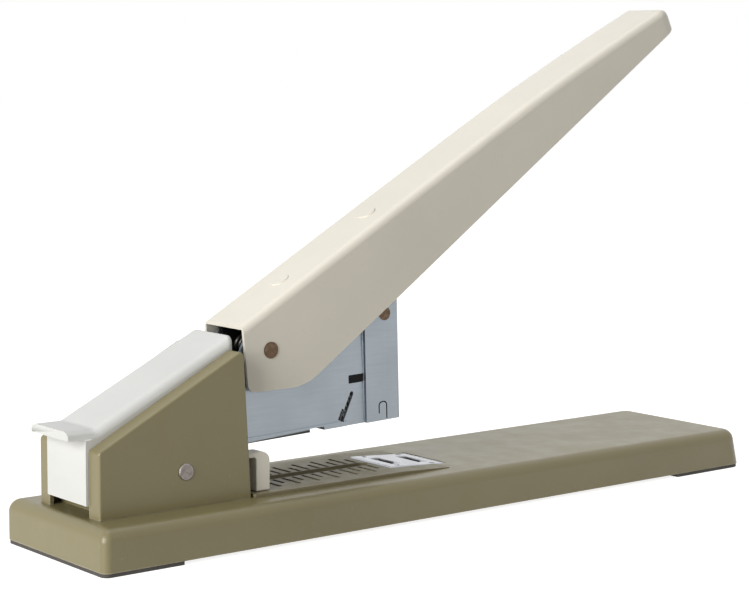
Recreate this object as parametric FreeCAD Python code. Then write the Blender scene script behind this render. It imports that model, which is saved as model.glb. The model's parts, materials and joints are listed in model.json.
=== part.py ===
import FreeCAD, Part
import math
import os

# Long-reach heavy-duty desk stapler. Millimetres, +Z up, +X from the tower towards the handle's tip.
# The origin is the middle of the footprint, on the table.

# Base: a pressed steel pan on two foot pads
base_length = 280.0
base_width = 58.8
base_top = 14.3
base_sheet = 1.2
base_edge_radius = 4.0
rear_corner_radius = 2.6
front_corner_radius = 5.4
base_front_draft = 3.4
foot_thickness = 1.25
foot_inset = 0.3
foot_plug_height = 5.0
foot_plug_wall = 2.0
rear_foot_length = 28.2
front_foot_length = 35.4

# Tower: a folded bracket with an open back, top and front
tower_start = 5.7
tower_foot_length = 55.45
tower_width = 35.2
tower_sheet = 1.3
tower_knee_height = 34.9
tower_top_height = 61.7
tower_lean = 2.95
tower_bend_radius = 0.7
tower_peak_radius = 1.5
stiffener_sheet = 1.6
stiffener_width = 41.0
stiffener_flange = 6.0
tower_rivet_radius = 2.0
tower_rivet_rear = 9.0
tower_rivet_spacing = 38.0
tower_rivet_inset = 3.3
tower_floor_setback = 5.4

# Throat plate: a thin plate with the paper scale that thins out beside the anvil
throat_length = 80.5
throat_width = 37.6
throat_rise = 1.1
throat_end_rise = 0.2
throat_gap = 0.6
slot_width = 5.0
slot_start = 62.6
slot_length = 58.6
tick_pitch = 3.95
tick_width = 1.4
tick_depth = 0.5
tick_short = 6.4
tick_long = 10.2
tick_margin = 1.6

# Anvil: a hardened block let into the base, sloping towards the front
anvil_centre = 135.0
anvil_length = 24.4
anvil_width = 22.2
anvil_height = 14.95
anvil_slope = 2.6
anvil_gap = 0.35
groove_spacing = 11.8
groove_width = 3.0
groove_length = 13.0
groove_depth = 1.3
tray_sheet = 1.2
tray_depth = 3.4
anvil_rivet_radius = 1.0

# Paper guide
guide_position = 67.4
guide_leg = 4.1
guide_height = 12.6
guide_width = 31.2
guide_ear_width = 5.2
guide_flange = 7.5
guide_web = 1.5
guide_round = 3.2
guide_travel = 48.0

# Magazine, built level about the tower pivot and then tilted up to its rest
pivot_position = 36.4
pivot_height = 25.6
pivot_radius = 2.2
pivot_head_radius = 2.65
pivot_head = 0.5
rest_tilt = 2.0
close_angle = 9.6
magazine_sheet = 1.1
magazine_width = 16.8
magazine_floor = 3.1
magazine_rear = 27.0
tail_depth = 6.5
head_front = 92.7
head_height = 42.4
casing_sheet = 0.9
casing_length = 15.0
casing_joggle = 0.7
casing_joggle_depth = 0.35
casing_bend = 2.0
spacer_radius = 3.6

# Staples 23/17 and their rail
staple_crown = 13.0
staple_leg = 17.0
staple_wire = 0.7
strip_length = 45.0
rail_sheet = 1.0
rail_start = -11.0
lanced_tab_back = 9.9
lanced_tab_width = 3.75
lanced_tab_top = 6.6
lanced_cut = 0.5
latch_slot_lean = 26.6
latch_slot_width = 1.5
latch_slot_length = 10.6
latch_slot_foot = 9.9
latch_mouth_width = 1.0
latch_mouth_length = 3.9
latch_strip_width = 0.55
window_length = 6.3
window_height = 2.8
window_up = 17.0
lip_height = 1.7
lip_proud = 0.35
lip_gap_start = 24.8
lip_gap_length = 5.9
rail_gap = 0.12
rail_slot = 2.4

# Driver
blade_thickness = 0.8
blade_width = 12.6
blade_rest_gap = 0.5
carrier_width = 10.4
driver_pin_radius = 2.5
driver_reach = 45.0
driver_play = 0.35

# Handle, built level about its pin
handle_pin_along = 38.0
handle_pin_up = 32.5
handle_incline = 27.3
handle_press_angle = 24.85
handle_width = 22.0
handle_tip_width = 19.6
handle_taper_start = 60.0
handle_sheet = 1.1
handle_reach = 215.3
handle_back = 5.7
handle_back_height = 12.3
handle_crest_position = 150.0
handle_crest_height = 18.2
handle_crest_radius = 1200.0
handle_tip_lean = 4.8
handle_tip_height = 16.9
handle_tip_low = 8.2
handle_chin_back = 13.65
handle_chin_drop = 7.7
handle_belly_position = 6.5
handle_belly_drop = 17.9
handle_belly_radius = 20.0
handle_edge_radius = 2.6
handle_tip_round = 7.5
handle_pin_radius = 2.4
pip_rear = 19.6
pip_spacing = 41.4
pip_radius = 3.5
pip_height = 0.35
lever_sheet = 1.4
lever_width = 14.0
lever_end = 5.0

# Loading drawer
cover_width = 22.9
cover_wall = 1.6
cover_back = -31.85
cover_lip = 5.0
cover_lip_sheet = 1.8
cover_lip_round = 0.8
cover_end = 24.15
cover_slope = 24.2
cover_top = 39.4
cover_round = 3.0
cover_end_round = 1.2
cover_foot = -6.5
slide_height = 8.0
slide_web = 1.2
rod_radius = 1.3
rod_height = 10.0
drawer_travel = 70.0
pusher_length = 12.0
pusher_travel = 20.0

running_fit = 0.05
side_gap = 0.3
seat = 0.1

rear = -base_length / 2
front = base_length / 2
pan_underside = base_top - base_sheet
pivot = FreeCAD.Vector(rear + pivot_position, 0, pivot_height)
tower_x0 = rear + tower_start
tower_x1 = tower_x0 + tower_foot_length
tower_inside = tower_width / 2 - tower_sheet
tower_opening = cover_width / 2 + 0.25


def box(x0, x1, y0, y1, z0, z1):
    return Part.makeBox(x1 - x0, y1 - y0, z1 - z0, FreeCAD.Vector(x0, y0, z0))


def slab(x0, x1, half_width, z0, z1):
    return box(x0, x1, -half_width, half_width, z0, z1)


def rod_y(x, z, radius, y0, y1):
    return Part.makeCylinder(radius, y1 - y0, FreeCAD.Vector(x, y0, z), FreeCAD.Vector(0, 1, 0))


def rod_z(x, y, radius, z0, z1):
    return Part.makeCylinder(radius, z1 - z0, FreeCAD.Vector(x, y, z0), FreeCAD.Vector(0, 0, 1))


def rod_x(x0, x1, y, z, radius):
    return Part.makeCylinder(radius, x1 - x0, FreeCAD.Vector(x0, y, z), FreeCAD.Vector(1, 0, 0))


def outline(corners, place):
    """A closed wire through corners (a, b, radius), each rounded by its radius; place maps (a, b) to 3-D."""
    ends = []
    for i, (a, b, radius) in enumerate(corners):
        corner = FreeCAD.Vector(a, b, 0)
        back = FreeCAD.Vector(corners[i - 1][0], corners[i - 1][1], 0) - corner
        ahead_corner = corners[(i + 1) % len(corners)]
        ahead = FreeCAD.Vector(ahead_corner[0], ahead_corner[1], 0) - corner
        back.normalize()
        ahead.normalize()
        if radius == 0:
            ends.append((corner, None, corner))
            continue
        half = back.getAngle(ahead) / 2
        reach = radius / math.tan(half)
        inward = (back + ahead).normalize()
        centre = corner + inward * (radius / math.sin(half))
        ends.append((corner + back * reach, centre - inward * radius, corner + ahead * reach))
    edges = []
    for i, (start, middle, end) in enumerate(ends):
        if middle is not None:
            edges.append(Part.Arc(place(start), place(middle), place(end)).toShape())
        following = ends[(i + 1) % len(ends)][0]
        if (following - end).Length > 1e-6:
            edges.append(Part.LineSegment(place(end), place(following)).toShape())
    return Part.Wire(edges)


def side_plate(corners, y0, y1):
    """A plate cut to an outline of (x, z, radius) corners, from y0 to y1."""
    wire = outline(corners, lambda p: FreeCAD.Vector(p.x, y0, p.y))
    return Part.Face(wire).extrude(FreeCAD.Vector(0, y1 - y0, 0))


def plan_plate(corners, z0, z1):
    """A plate cut to an outline of (x, y, radius) corners, from z0 to z1."""
    wire = outline(corners, lambda p: FreeCAD.Vector(p.x, p.y, z0))
    return Part.Face(wire).extrude(FreeCAD.Vector(0, 0, z1 - z0))


def plan_block(x0, x1, half_width, radius, z0, z1):
    corners = [(x0, -half_width, radius), (x1, -half_width, radius)]
    corners += [(x1, half_width, radius), (x0, half_width, radius)]
    return plan_plate(corners, z0, z1)


def slot_plate(x0, x1, y, half_width, z0, z1):
    """A round-ended slot cutter along X."""
    corners = [(x0, y - half_width, half_width * 0.99), (x1, y - half_width, half_width * 0.99)]
    corners += [(x1, y + half_width, half_width * 0.99), (x0, y + half_width, half_width * 0.99)]
    return plan_plate(corners, z0, z1)


def round_edges(shape, radius, wanted):
    """Fillet the edges of shape for which wanted(edge box) holds."""
    edges = [edge for edge in shape.Edges if wanted(edge.BoundBox)]
    return shape.makeFillet(radius, edges)


def both_sides(shape):
    return shape.fuse(shape.mirror(FreeCAD.Vector(0, 0, 0), FreeCAD.Vector(0, 1, 0)))


def coil(radius, wire_radius, turns, length, start, axis):
    """A spring from start along axis: half rings of six-sided wire, tipped in turn to climb by the pitch."""
    halves = round(2 * turns)
    rise = length / halves
    spring = None
    for i in range(halves):
        side = 1 if i % 2 == 0 else -1
        begin = FreeCAD.Vector(side * radius, 0, i * rise)
        middle = FreeCAD.Vector(0, 0, (i + 0.5) * rise)
        spoke = begin - middle
        tip = spoke.cross(FreeCAD.Vector(0, side, 0))
        corners = [begin + FreeCAD.Vector(math.cos(k * math.pi / 3), 0, math.sin(k * math.pi / 3)) * wire_radius
                   for k in range(7)]
        half_ring = Part.Face(Part.makePolygon(corners)).revolve(middle, tip, 180)
        spring = half_ring if spring is None else spring.fuse(half_ring)
    spring.Placement = FreeCAD.Placement(start, FreeCAD.Rotation(FreeCAD.Vector(0, 0, 1), axis))
    return spring


def pan_solid(inset, bottom):
    """The pan's outer form, or its hollow when inset by the sheet."""
    lean = base_front_draft / (base_top - foot_thickness)
    top = base_top - inset
    half = base_width / 2 - inset
    x0 = rear + inset
    x_low = front - inset - lean * (bottom - foot_thickness)
    x_top = front - inset - lean * (top - foot_thickness)
    solid = side_plate([(x0, bottom, 0), (x_low, bottom, 0), (x_top, top, 0), (x0, top, 0)], -half, half)

    def upright(b):
        return b.ZLength > 1 and max(b.XLength, b.YLength) < 2 * base_edge_radius
    solid = round_edges(solid, front_corner_radius - inset, lambda b: upright(b) and b.XMin > 0)
    solid = round_edges(solid, base_edge_radius - inset, lambda b: b.ZMin > top - 0.01)
    return round_edges(solid, rear_corner_radius - inset, lambda b: upright(b) and b.XMax < 0)


def make_base_shell():
    shell = pan_solid(0, foot_thickness).cut(pan_solid(base_sheet, foot_thickness - 1))
    shell = shell.cut(guide_slot(pan_underside - 1, base_top + 1))
    shell = shell.cut(anvil_pocket(pan_underside - 1, base_top + 1))
    for x, y in tower_rivet_places():
        shell = shell.cut(rod_z(x, y, tower_rivet_radius, pan_underside - 1, base_top + 1))
    return shell


def base_plan(inset, z0, z1):
    """The base's plan drawn in by inset, from z0 to z1."""
    x0 = rear + inset
    x1 = front - inset
    y = base_width / 2 - inset
    rear_round = rear_corner_radius - inset
    front_round = front_corner_radius - inset
    corners = [(x0, -y, rear_round), (x1, -y, front_round), (x1, y, front_round), (x0, y, rear_round)]
    return plan_plate(corners, z0, z1)


def make_foot(x0, x1):
    """A pad with a hollow plug that grips the inside of the pan's end."""
    pad = base_plan(foot_inset, 0, foot_thickness)
    pad = pad.common(slab(x0, x1, base_width, -1, foot_thickness + 1))
    plug = pan_solid(base_sheet + seat, foot_thickness)
    plug = plug.common(slab(x0 + 2 * seat, x1 - 2 * seat, base_width, foot_thickness, foot_thickness + foot_plug_height))
    inner = max(x0, rear) + base_sheet + foot_plug_wall
    outer = min(x1, front) - base_sheet - foot_plug_wall - base_front_draft / 2
    hollow_half = base_width / 2 - base_sheet - foot_plug_wall
    hollow = plan_block(inner, outer, hollow_half, rear_corner_radius / 2, foot_thickness, foot_plug_height * 2)
    return pad.fuse(plug.cut(hollow)).removeSplitter()


def tower_rivet_places():
    y = tower_inside - tower_rivet_inset
    x = tower_x0 + tower_rivet_rear
    return [(x, -y), (x, y), (x + tower_rivet_spacing, -y), (x + tower_rivet_spacing, y)]


def tower_outline(inset):
    slope_top = tower_x1 - tower_lean
    bend = tower_bend_radius - inset if inset < tower_bend_radius else 0
    foot = [(tower_x0 + inset, base_top, 0), (tower_x0 + inset, tower_knee_height - inset * 0.6, bend * 2)]
    end = slope_top if inset == 0 else slope_top + 1
    top = tower_top_height - inset * 1.15 + (end - slope_top) * 0.5
    crown = [(end, top, tower_peak_radius if inset == 0 else 0)]
    heel = [(tower_x1 + (0 if inset == 0 else 2), base_top, 0)]
    return foot + crown + heel


def make_tower():
    half = tower_width / 2
    body = side_plate(tower_outline(0), -half, half)

    def outer_fold(b):
        on_side = b.YLength < 0.01
        return on_side and b.XMax < tower_x1 - tower_lean - 1 and b.ZMax > base_top + 1
    body = round_edges(body, tower_bend_radius, outer_fold)
    inside = side_plate(tower_outline(tower_sheet), -tower_inside, tower_inside)
    body = body.cut(inside)
    body = body.cut(slab(tower_x0 - 1, tower_x1 + 1, tower_opening, base_top - 1, tower_top_height + 5))
    floor_start = tower_x0 + tower_floor_setback
    floor = slab(floor_start, tower_x1 - 2, tower_inside + seat, base_top, base_top + tower_sheet)
    body = body.fuse(floor)
    for x, y in tower_rivet_places():
        body = body.cut(rod_z(x, y, tower_rivet_radius, base_top - 1, base_top + 4))
    reach = tower_width / 2 + 1
    return body.cut(rod_y(pivot.x, pivot.z, pivot_radius, -reach, reach)).removeSplitter()


def make_tower_rivets():
    rivets = []
    for x, y in tower_rivet_places():
        low = pan_underside - stiffener_sheet
        high = base_top + tower_sheet
        shank = rod_z(x, y, tower_rivet_radius, low, high)
        head = rod_z(x, y, tower_rivet_radius + 1.2, high, high + 1.0)
        tail = rod_z(x, y, tower_rivet_radius + 1.0, low - 0.9, low)
        rivets.append(shank.fuse([head, tail]).removeSplitter())
    return Part.makeCompound(rivets)


def make_stiffener():
    """A channel under the pan that the tower is riveted to."""
    x0 = tower_x0 + 0.5
    x1 = tower_x1 - 0.5
    half = stiffener_width / 2
    low = pan_underside - stiffener_flange
    channel = slab(x0, x1, half, low, pan_underside)
    channel = channel.cut(slab(x0 - 1, x1 + 1, half - stiffener_sheet, low - 1, pan_underside - stiffener_sheet))
    for x, y in tower_rivet_places():
        channel = channel.cut(rod_z(x, y, tower_rivet_radius, low, base_top))
    return channel


def make_pivot_pin():
    half = tower_width / 2
    pin = rod_y(pivot.x, pivot.z, pivot_radius, -half, half)
    for side in (-1, 1):
        y0 = side * half if side > 0 else -half - pivot_head
        head = rod_y(pivot.x, pivot.z, pivot_head_radius, y0, y0 + pivot_head)
        rim = side * (half + pivot_head)
        head = head.makeChamfer(pivot_head * 0.5, [e for e in head.Edges if abs(e.BoundBox.YMin - rim) < 0.01])
        pin = pin.fuse(head)
    return pin.removeSplitter()


def make_pivot_spacers():
    inner = magazine_width / 2 + seat
    outer = tower_inside - seat
    tube = rod_y(pivot.x, pivot.z, spacer_radius, inner, outer)
    tube = tube.cut(rod_y(pivot.x, pivot.z, pivot_radius + running_fit, inner - 1, outer + 1))
    return Part.makeCompound([tube, tube.mirror(FreeCAD.Vector(0, 0, 0), FreeCAD.Vector(0, 1, 0))])


def throat_height(x):
    """Height of the throat plate's top face at x."""
    start = throat_bend()
    slope = (throat_rise - throat_end_rise) / (tower_x1 + throat_gap + throat_length - start)
    return base_top + throat_rise - slope * max(0, x - start)


def throat_bend():
    """Where the plate starts to thin out: the anvil's rear edge."""
    return rear + anvil_centre - anvil_length / 2 - anvil_gap


def guide_slot(z0, z1):
    x0 = rear + slot_start
    return slot_plate(x0, x0 + slot_length, 0, slot_width / 2, z0, z1)


def anvil_pocket(z0, z1):
    x = rear + anvil_centre
    reach = anvil_length / 2 + anvil_gap
    return plan_block(x - reach, x + reach, anvil_width / 2 + anvil_gap, 0.8, z0, z1)


def make_throat_plate():
    x0 = tower_x1 + throat_gap
    x1 = x0 + throat_length
    half = throat_width / 2
    bend = throat_bend()
    plate = side_plate([(x0, base_top, 0), (x1, base_top, 0), (x1, throat_height(x1), 0),
                        (bend, throat_height(bend), 0), (x0, throat_height(x0), 0)], -half, half)
    plate = plate.cut(guide_slot(base_top - 1, base_top + 5))
    plate = plate.cut(anvil_pocket(base_top - 1, base_top + 5))
    first = rear + slot_start + guide_leg + 5
    last = rear + anvil_centre - anvil_length / 2 - 3
    count = int((last - first) / tick_pitch) + 1
    for i in range(count):
        x = first + i * tick_pitch
        length = tick_long if i % 2 else tick_short
        y0 = slot_width / 2 + 0.5
        floor = throat_height(x) - tick_depth
        tick = box(x - tick_width / 2, x + tick_width / 2, y0, y0 + length, floor, base_top + 5)
        plate = plate.cut(both_sides(tick))
    return plate


def make_anvil():
    """The clinching block: a sloped top with two rows of troughs that curl the legs."""
    x = rear + anvil_centre
    low = pan_underside - tray_depth + tray_sheet
    reach = anvil_length / 2
    block = plan_block(x - reach, x + reach, anvil_width / 2, 0.6, low, base_top + 5)
    above = slab(-40, 40, anvil_width, 0, 12)
    above.rotate(FreeCAD.Vector(0, 0, 0), FreeCAD.Vector(0, 1, 0), anvil_slope)
    above.translate(FreeCAD.Vector(x, 0, anvil_height))
    block = block.cut(above)
    trough_radius = ((groove_length / 2) ** 2 + groove_depth ** 2) / (2 * groove_depth)
    for side in (-1, 1):
        centre = side * groove_spacing / 2
        trough = rod_x(centre - groove_width / 2, centre + groove_width / 2, 0,
                       trough_radius - groove_depth, trough_radius)
        trough.rotate(FreeCAD.Vector(0, 0, 0), FreeCAD.Vector(0, 1, 0), anvil_slope)
        trough.translate(FreeCAD.Vector(x, 0, anvil_height))
        block = block.cut(trough)
    for px, py in anvil_rivet_places():
        block = block.cut(rod_z(px, py, anvil_rivet_radius, low - 1, base_top + 5))
    return block


def anvil_rivet_places():
    x = rear + anvil_centre
    return [(x + i * (anvil_length / 2 - 4.4), j * (anvil_width / 2 - 1.9)) for i in (-1, 1) for j in (-1, 1)]


def anvil_top(x):
    return anvil_height - math.tan(math.radians(anvil_slope)) * (x - rear - anvil_centre)


def make_anvil_rivets():
    rivets = []
    for x, y in anvil_rivet_places():
        low = pan_underside - tray_depth
        rivets.append(rod_z(x, y, anvil_rivet_radius, low - 0.6, anvil_top(x) - 0.25))
    return Part.makeCompound(rivets)


def make_anvil_tray():
    """A hat section under the pan that carries the anvil."""
    x = rear + anvil_centre
    reach = anvil_length / 2 + 5
    inner = anvil_width / 2 + anvil_gap + 0.8
    floor = pan_underside - tray_depth
    tray = slab(x - reach, x + reach, inner + tray_sheet, floor, pan_underside)
    tray = tray.cut(slab(x - reach - 1, x + reach + 1, inner, floor + tray_sheet, pan_underside + 1))
    ear = box(x - reach, x + reach, inner, inner + 7, pan_underside - tray_sheet, pan_underside)
    tray = tray.fuse(both_sides(ear))
    for px, py in anvil_rivet_places():
        tray = tray.cut(rod_z(px, py, anvil_rivet_radius, floor - 1, pan_underside))
    return tray.removeSplitter()


def make_bumper():
    """The rubber rest under the magazine's tail."""
    rest = pivot_height - tail_drop() - 0.3
    x0 = tower_x0 + 5.5
    return slab(x0, x0 + 9, magazine_width / 2, base_top + tower_sheet, rest)


def tail_drop():
    """How far the magazine's tail hangs under the pivot at rest, at the bumper's rear edge."""
    reach = pivot_position - tower_start - 5.5
    tilt = math.radians(rest_tilt)
    return tail_depth * math.cos(tilt) + reach * math.sin(tilt)


def make_paper_guide():
    """An angle stop with two ears that pass either side of the magazine."""
    x0 = rear + guide_position - guide_leg / 2
    x1 = x0 + guide_leg
    floor = throat_height(x0) + 0.1
    top = floor + guide_height
    half = guide_width / 2
    profile = [(x0 - guide_flange, top, 0.4), (x1, top, guide_round), (x1, floor, 0.4), (x0, floor, 0.4),
               (x0, top - guide_web, guide_round / 3), (x0 - guide_flange, top - guide_web, 0.4)]
    ears = side_plate(profile, -half, half)
    clear = half - guide_ear_width
    ears = ears.cut(slab(x0 - guide_flange - 1, x1 + 1, clear, floor + guide_web, top + 1))
    shank = slab(x0 + 0.2, x1 - 0.2, slot_width / 2 - 0.15, pan_underside - 0.1, floor + 0.5)
    return ears.fuse(shank).removeSplitter()


def make_guide_shoe():
    """The spring shoe that holds the guide down from inside the pan."""
    x = rear + guide_position
    top = pan_underside - 0.1
    shoe = slab(x - 6, x + 6, slot_width / 2 + 4, top - 0.8, top)
    return shoe.cut(rod_z(x, 0, 1.05, top - 2, top + 1))


def make_guide_screw():
    x = rear + guide_position
    top = pan_underside - 0.9
    return rod_z(x, 0, 2.4, top - 1.2, top).fuse(rod_z(x, 0, 1.0, top, top + 0.75)).removeSplitter()


def rest(shape):
    """Tilt a piece built level about the tower pivot up to its rest."""
    shape.rotate(pivot, FreeCAD.Vector(0, 1, 0), -rest_tilt)
    return shape


def along(u):
    return pivot.x + u


def up(w):
    return pivot.z + w


def lifted(corners):
    return [(along(u), up(w), r) for u, w, r in corners]


floor_top = magazine_floor + 1.2
crown_top = floor_top + 0.2 + staple_leg
blade_back = head_front - casing_sheet - seat / 2 - blade_thickness
casing_back = head_front - casing_length
head_top = magazine_floor - 0.1 + head_height


def latch_slot_corners(half_width, foot, top):
    """A strip of the diagonal latch slot, from foot to top along it, level with the magazine."""
    corners = [(-half_width, foot, 0), (half_width, foot, 0)]
    corners += [(half_width, top, half_width * 0.99), (-half_width, top, half_width * 0.99)]
    return corners


def make_magazine_channel():
    """The folded magazine: two tall cheeks on a floor, with ears for both pins."""
    half = magazine_width / 2
    nose = head_front - casing_bend
    ear = handle_pin_up + 7.5
    cheek_corners = [(-magazine_rear, -tail_depth, 2), (-13, -tail_depth, 3), (-9, -5.6, 4), (11, -5.6, 5),
                     (19, magazine_floor, 5), (nose, magazine_floor, 0), (nose, head_top - 1.0, 0),
                     (casing_back - 2, head_top - 2.5, 4), (handle_pin_along + 9, ear, 8),
                     (handle_pin_along - 6, ear, 5), (cover_end + 2.0, cover_line(cover_end) - 9.6, 2),
                     (-magazine_rear, cover_line(-magazine_rear) - 4.2, 2)]
    cheeks = side_plate(lifted(cheek_corners), -half, half)
    inner = half - magazine_sheet
    cheeks = cheeks.cut(slab(along(-magazine_rear - 1), along(nose + 1), inner, up(floor_top), up(2 * head_top)))
    cheeks = cheeks.cut(slab(along(-magazine_rear - 1), along(17), inner, up(-2 * tail_depth), up(floor_top + 1)))
    cheeks = cheeks.cut(slab(along(17), along(nose + 1), half, up(-2 * tail_depth), up(magazine_floor)))
    lip_end = casing_back - 8
    lip = slab(along(20), along(lip_end), half + lip_proud, up(magazine_floor), up(magazine_floor + lip_height))
    body = cheeks.fuse(lip.cut(slab(along(0), along(nose), inner, up(floor_top), up(head_top))))
    gap = lip_end - lip_gap_start + 8
    gap_start = gap - lip_gap_length
    body = body.cut(slab(along(gap_start), along(gap), 30, up(magazine_floor - 1), up(floor_top - 0.05)))
    open_front = slab(along(blade_back - 0.25), along(head_front), staple_crown / 2 + 0.3, up(0), up(floor_top + 1))
    body = body.cut(open_front)
    reach = half + 1
    body = body.cut(rod_y(along(0), up(0), pivot_radius + running_fit, -reach, reach))
    body = body.cut(rod_y(along(handle_pin_along), up(handle_pin_up), handle_pin_radius + running_fit, -reach, reach))
    return rest(body.cut(magazine_openings(reach)).removeSplitter())


def magazine_openings(reach):
    """Cutters for the window, the joggle line in front of the casing and the diagonal latch slot."""
    half = magazine_width / 2
    window_end = casing_back - casing_joggle / 2
    window = side_plate(lifted([(window_end - window_length, window_up, 0.3), (window_end, window_up, 0.3),
                                (window_end, window_up + window_height, 0.3),
                                (window_end - window_length, window_up + window_height, 0.3)]), -reach, reach)
    line = box(along(casing_back - casing_joggle), along(casing_back), half - casing_joggle_depth, reach,
               up(floor_top), up(head_top))
    slot = side_plate(latch_slot_corners(latch_slot_width / 2, 0, latch_slot_length), -reach, reach)
    mouth = slab(-latch_slot_width / 2 - latch_mouth_width, 0, reach, 0, latch_mouth_length)
    return window.fuse([both_sides(line), latch_place(slot), latch_place(mouth)])


def latch_place(shape):
    """Lean a strip of the latch slot and set its foot on the magazine floor."""
    shape.rotate(FreeCAD.Vector(0, 0, 0), FreeCAD.Vector(0, 1, 0), latch_slot_lean)
    foot_lift = (latch_slot_width / 2 + latch_mouth_width) * math.sin(math.radians(latch_slot_lean))
    shape.translate(FreeCAD.Vector(along(casing_back - latch_slot_foot), 0, up(floor_top - 0.3 + foot_lift)))
    return shape


def cover_line(u):
    """Height of the drawer cover's top face over the magazine, at u along it."""
    return cover_top - (cover_end - u) * math.tan(math.radians(cover_slope))


def make_head_casing():
    """The nose wrap that holds the driver in, with a lanced tab each side."""
    outer = magazine_width / 2 + casing_sheet
    low = magazine_floor - 0.1
    plan = [(along(casing_back), -outer, 0), (along(head_front), -outer, casing_bend),
            (along(head_front), outer, casing_bend), (along(casing_back), outer, 0)]
    wrap = plan_plate(plan, up(low), up(head_top))
    inner = outer - casing_sheet
    hollow = [(along(casing_back - 1), -inner, 0), (along(head_front - casing_sheet), -inner, casing_bend - casing_sheet),
              (along(head_front - casing_sheet), inner, casing_bend - casing_sheet), (along(casing_back - 1), inner, 0)]
    wrap = wrap.cut(plan_plate(hollow, up(low - 1), up(head_top + 1)))
    reach = outer + 1
    mark = head_front - lanced_tab_back
    foot = low + 0.5
    top = low + lanced_tab_top
    loop = side_plate(lifted([(mark, foot + 2.0, 0), (mark + lanced_tab_width - 1, foot + 2.0, 0),
                              (mark + lanced_tab_width - 1, foot, 0), (mark + lanced_tab_width, foot, 0),
                              (mark + lanced_tab_width, top, 1.6), (mark, top, 1.6)]), -reach, reach)
    tab = side_plate(lifted([(mark + lanced_cut, low, 0), (mark + lanced_tab_width - lanced_cut, low, 0),
                             (mark + lanced_tab_width - lanced_cut, top - lanced_cut, 1.1),
                             (mark + lanced_cut, top - lanced_cut, 1.1)]), -reach, reach)
    wrap = wrap.cut(loop.cut(tab))
    for u, w in casing_rivet_places():
        wrap = wrap.cut(rod_y(along(u), up(w), 1.5, -reach, reach))
    return rest(wrap)


def casing_rivet_places():
    return [(head_front - 6.5, head_height - 3.4)]


def make_casing_rivets():
    outer = magazine_width / 2 + casing_sheet
    rivets = []
    for u, w in casing_rivet_places():
        shank = rod_y(along(u), up(w), 1.5, magazine_width / 2, outer)
        head = rod_y(along(u), up(w), 2.3, outer, outer + 0.2)
        rivet = shank.fuse(head).removeSplitter()
        rivets += [rivet, rivet.mirror(FreeCAD.Vector(0, 0, 0), FreeCAD.Vector(0, 1, 0))]
    return rest(Part.makeCompound(rivets))


def make_staple_rail():
    """The inverted channel that the staples straddle, split at the rear for the pusher's web."""
    half = staple_crown / 2 - 1.0 - rail_gap
    top = crown_top - staple_wire - rail_gap
    rail = slab(along(rail_start), along(blade_back - 0.4), half, up(floor_top), up(top))
    inner = half - rail_sheet
    rail = rail.cut(slab(along(rail_start - 1), along(head_front), inner, up(floor_top - 1), up(top - rail_sheet)))
    slot_end = blade_back - strip_length + 15
    rail = rail.cut(slab(along(rail_start - 1), along(slot_end), rail_slot / 2, up(floor_top), up(top + 1)))
    return rest(rail)


def make_rail_feet():
    """Two cross plates that tie the rail's cheeks to the magazine floor."""
    half = staple_crown / 2 - 1.0 - rail_gap - rail_sheet
    feet = [slab(along(u), along(u + 4), half, up(floor_top), up(floor_top + 1.2)) for u in (24, blade_back - 11)]
    return rest(Part.makeCompound(feet))


def make_staples():
    """One glued strip of staples: a comb of square wires."""
    outer = staple_crown / 2
    u1 = blade_back - seat
    u0 = u1 - strip_length
    low = floor_top + 0.2
    strip = slab(along(u0), along(u1), outer, up(low), up(crown_top))
    strip = strip.cut(slab(along(u0 - 1), along(u1 + 1), outer - 1.0, up(low - 1), up(crown_top - staple_wire)))
    return rest(strip)


def make_latch_leaves():
    """Thin spring leaves on the inside of the cheeks, behind the window."""
    inner = magazine_width / 2 - magazine_sheet
    low = window_up - 1.5
    leaf = box(along(casing_back - 17.5), along(casing_back), inner - 0.4, inner, up(low), up(low + 6))
    half = latch_strip_width / 2
    strip = latch_place(box(-half, half, inner - 0.4, inner, 0.3, latch_slot_length + 1.8))
    leaf = leaf.fuse(strip).removeSplitter()
    return rest(Part.makeCompound([leaf, leaf.mirror(FreeCAD.Vector(0, 0, 0), FreeCAD.Vector(0, 1, 0))]))


def make_latch_blocks():
    inner = magazine_width / 2 - magazine_sheet
    window_end = casing_back - casing_joggle / 2
    u0 = window_end - window_length + seat
    low = window_up + seat
    block = box(along(u0), along(window_end - seat), inner, magazine_width / 2, up(low), up(low + window_height - 2 * seat))
    return rest(Part.makeCompound([block, block.mirror(FreeCAD.Vector(0, 0, 0), FreeCAD.Vector(0, 1, 0))]))


def make_pusher():
    """A saddle on the rail, with a web down through its slot to a collar on the rod."""
    u1 = blade_back - seat - strip_length - seat
    u0 = u1 - pusher_length
    outer = staple_crown / 2 + 0.1
    low = floor_top + 0.3
    top = crown_top + 1.2
    inner = staple_crown / 2 - 1.0 + 0.1
    saddle = slab(along(u0), along(u1), outer, up(low), up(top))
    saddle = saddle.cut(slab(along(u0 - 1), along(u1 + 1), inner, up(low - 1), up(crown_top - staple_wire)))
    web = slab(along(u0 + 1), along(u1 - 1), rail_slot / 2 - 0.2, up(rod_height), up(crown_top))
    collar = rod_x(along(u0 + 1), along(u1 - 1), 0, up(rod_height), rod_radius + 1.6)
    pusher = saddle.fuse([web, collar])
    pusher = pusher.cut(rod_x(along(u0 - 1), along(u1 + 1), 0, up(rod_height), rod_radius + running_fit))
    return rest(pusher.removeSplitter())


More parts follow.
